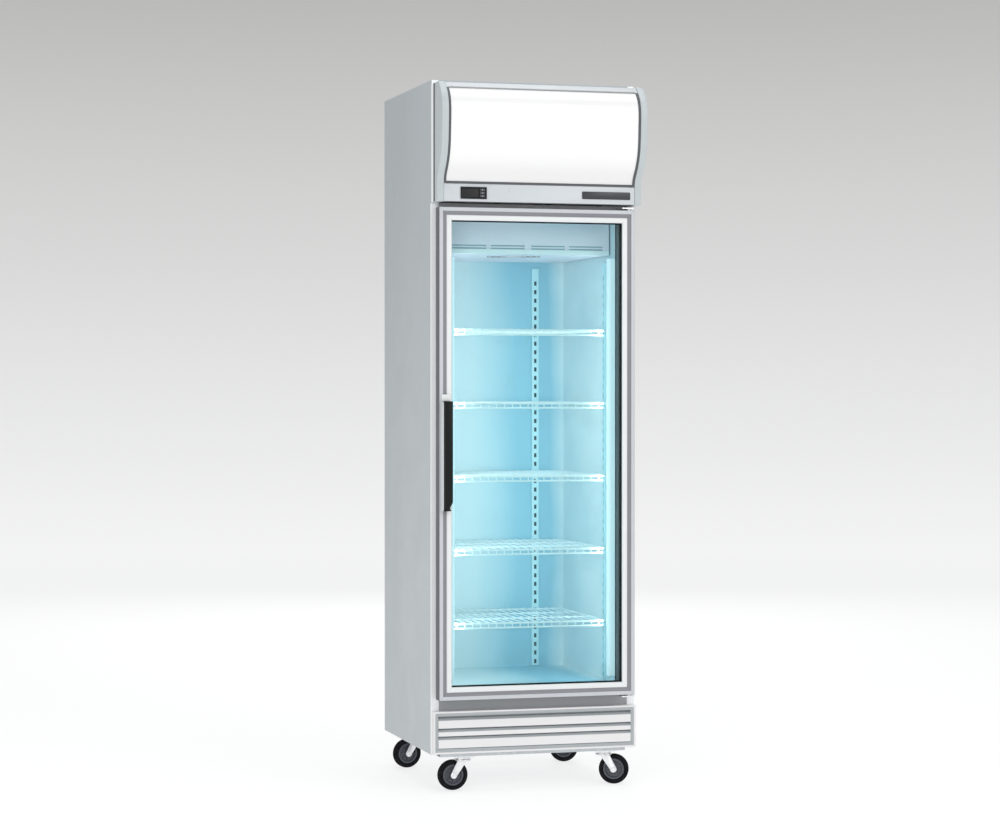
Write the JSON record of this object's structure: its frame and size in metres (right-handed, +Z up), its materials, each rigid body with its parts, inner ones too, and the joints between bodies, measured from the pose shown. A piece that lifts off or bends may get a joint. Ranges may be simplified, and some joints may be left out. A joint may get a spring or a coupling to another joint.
{
  "type": "glass door merchandiser",
  "caption": "Upright refrigerated display cabinet with a hinged double-glazed door, wire shelves, a bowed canopy, a louvred kick panel and swivel casters.",
  "frame": {"origin": "on the floor, under the middle of the whole object's bounding box", "axes": "+Z up, -Y towards the person in front of the door, +X to that person's right"},
  "size_m": [0.62, 0.71, 2.07],
  "materials": {
    "side_paint": "satin",
    "white_paint": "satin",
    "face_paint": "satin",
    "galvanised_steel": "satin",
    "grille_paint": "satin",
    "door_frame_plastic": "satin",
    "door_glass": "polished",
    "spacer": "matte",
    "gasket_rubber": "matte",
    "black_plastic": "satin",
    "display_window": "gloss",
    "badge_metal": "satin",
    "sign_face": "gloss",
    "lamp": "gloss",
    "white_plastic": "satin",
    "foam": "matte",
    "shelf_wire": "satin",
    "zinc": "satin",
    "wheel_rubber": "matte",
    "compressor_paint": "satin",
    "fin_aluminium": "satin",
    "copper": "satin"
  },
  "bodies": {
    "cabinet": {"back_panel": "galvanised_steel", "badge_plate": "badge_metal", "base_frame": "galvanised_steel", "base_grille": "grille_paint", "canopy_face": "sign_face", "canopy_housing": "white_paint", "canopy_trim": "side_paint", "canopy_tubes": "lamp", "caster_plates": "zinc", "compressor": "compressor_paint", "condensate_drain": "white_plastic", "condenser_coil": "fin_aluminium", "condenser_shroud": "galvanised_steel", "control_fascia": "side_paint", "controller_display": "display_window", "controller_housing": "black_plastic", "cord_gland": "black_plastic", "drip_tray": "white_plastic", "electrical_box": "galvanised_steel", "evaporator_coil": "fin_aluminium", "evaporator_cover": "white_paint", "evaporator_fan_frame": "black_plastic", "face_frame": "face_paint", "hinge_brackets": "galvanised_steel", "inner_liner": "white_paint", "insulation_panels": "foam", "interior_lamps": "lamp", "panel_screws": "zinc", "rear_grille": "galvanised_steel", "refrigerant_pipes": "copper", "shelf_supports": "galvanised_steel", "side_panels": "side_paint", "top_panel": "side_paint", "tube_holders": "white_plastic"},
    "door": {"door_stiles": "door_frame_plastic", "door_rails": "door_frame_plastic", "door_glass_panes": "door_glass", "glass_spacer": "spacer", "door_gasket": "gasket_rubber", "door_handle": "black_plastic", "hinge_bushes": "white_plastic"},
    "evaporator_fan": {"evaporator_fan": "black_plastic"},
    "condenser_fan": {"condenser_fan": "black_plastic"},
    "button_set": {"button_set": "black_plastic"},
    "button_up": {"button_up": "black_plastic"},
    "button_down": {"button_down": "black_plastic"},
    "shelf_1": {"shelf_1": "shelf_wire"},
    "shelf_2": {"shelf_2": "shelf_wire"},
    "shelf_3": {"shelf_3": "shelf_wire"},
    "shelf_4": {"shelf_4": "shelf_wire"},
    "shelf_5": {"shelf_5": "shelf_wire"},
    "caster_fork_front_left": {"caster_fork_front_left": "zinc"},
    "caster_wheel_front_left": {"caster_wheel_front_left": "wheel_rubber"},
    "caster_fork_front_right": {"caster_fork_front_right": "zinc"},
    "caster_wheel_front_right": {"caster_wheel_front_right": "wheel_rubber"},
    "caster_fork_rear_left": {"caster_fork_rear_left": "zinc"},
    "caster_wheel_rear_left": {"caster_wheel_rear_left": "wheel_rubber"},
    "caster_fork_rear_right": {"caster_fork_rear_right": "zinc"},
    "caster_wheel_rear_right": {"caster_wheel_rear_right": "wheel_rubber"}
  },
  "joints": [
    {"name": "door_swing", "type": "hinge", "parent": "cabinet", "child": "door", "pos_m": [0.286, -0.255, 0.986], "axis": [0, 0, 1], "range_deg": [0, 110]},
    {"name": "evaporator_fan_spin", "type": "hinge", "parent": "cabinet", "child": "evaporator_fan", "pos_m": [0, -0.015, 1.5925], "axis": [0, 0, 1], "continuous": true},
    {"name": "condenser_fan_spin", "type": "hinge", "parent": "cabinet", "child": "condenser_fan", "pos_m": [-0.09, 0.165, 1.8745], "axis": [0, 1, 0], "continuous": true},
    {"name": "button_set_press", "type": "slide", "parent": "cabinet", "child": "button_set", "axis": [0, 1, 0], "range_m": [0, 0.001], "stiffness_N_per_m": 300},
    {"name": "button_up_press", "type": "slide", "parent": "cabinet", "child": "button_up", "axis": [0, 1, 0], "range_m": [0, 0.001], "stiffness_N_per_m": 300},
    {"name": "button_down_press", "type": "slide", "parent": "cabinet", "child": "button_down", "axis": [0, 1, 0], "range_m": [0, 0.001], "stiffness_N_per_m": 300},
    {"name": "shelf_1_lift", "type": "slide", "parent": "cabinet", "child": "shelf_1", "axis": [0, 0, 1], "range_m": [0, 0.025]},
    {"name": "shelf_2_lift", "type": "slide", "parent": "cabinet", "child": "shelf_2", "axis": [0, 0, 1], "range_m": [0, 0.025]},
    {"name": "shelf_3_lift", "type": "slide", "parent": "cabinet", "child": "shelf_3", "axis": [0, 0, 1], "range_m": [0, 0.025]},
    {"name": "shelf_4_lift", "type": "slide", "parent": "cabinet", "child": "shelf_4", "axis": [0, 0, 1], "range_m": [0, 0.025]},
    {"name": "shelf_5_lift", "type": "slide", "parent": "cabinet", "child": "shelf_5", "axis": [0, 0, 1], "range_m": [0, 0.025]},
    {"name": "caster_front_left_swivel", "type": "hinge", "parent": "cabinet", "child": "caster_fork_front_left", "pos_m": [-0.206, -0.188, 0.097], "axis": [0, 0, 1], "continuous": true},
    {"name": "caster_front_left_roll", "type": "hinge", "parent": "caster_fork_front_left", "child": "caster_wheel_front_left", "pos_m": [-0.236, -0.188, 0.0445], "axis": [0, -1, 0], "continuous": true},
    {"name": "caster_front_right_swivel", "type": "hinge", "parent": "cabinet", "child": "caster_fork_front_right", "pos_m": [0.23, -0.188, 0.097], "axis": [0, 0, 1], "continuous": true},
    {"name": "caster_front_right_roll", "type": "hinge", "parent": "caster_fork_front_right", "child": "caster_wheel_front_right", "pos_m": [0.25782, -0.19924, 0.0445], "axis": [0.3746, 0.9272, 0], "continuous": true},
    {"name": "caster_rear_left_swivel", "type": "hinge", "parent": "cabinet", "child": "caster_fork_rear_left", "pos_m": [-0.225, 0.295, 0.097], "axis": [0, 0, 1], "continuous": true},
    {"name": "caster_rear_left_roll", "type": "hinge", "parent": "caster_fork_rear_left", "child": "caster_wheel_rear_left", "pos_m": [-0.25471, 0.29083, 0.0445], "axis": [0.1392, -0.9903, 0], "continuous": true},
    {"name": "caster_rear_right_swivel", "type": "hinge", "parent": "cabinet", "child": "caster_fork_rear_right", "pos_m": [0.225, 0.295, 0.097], "axis": [0, 0, 1], "continuous": true},
    {"name": "caster_rear_right_roll", "type": "hinge", "parent": "caster_fork_rear_right", "child": "caster_wheel_rear_right", "pos_m": [0.25319, 0.28474, 0.0445], "axis": [0.342, 0.9397, 0], "continuous": true}
  ]
}
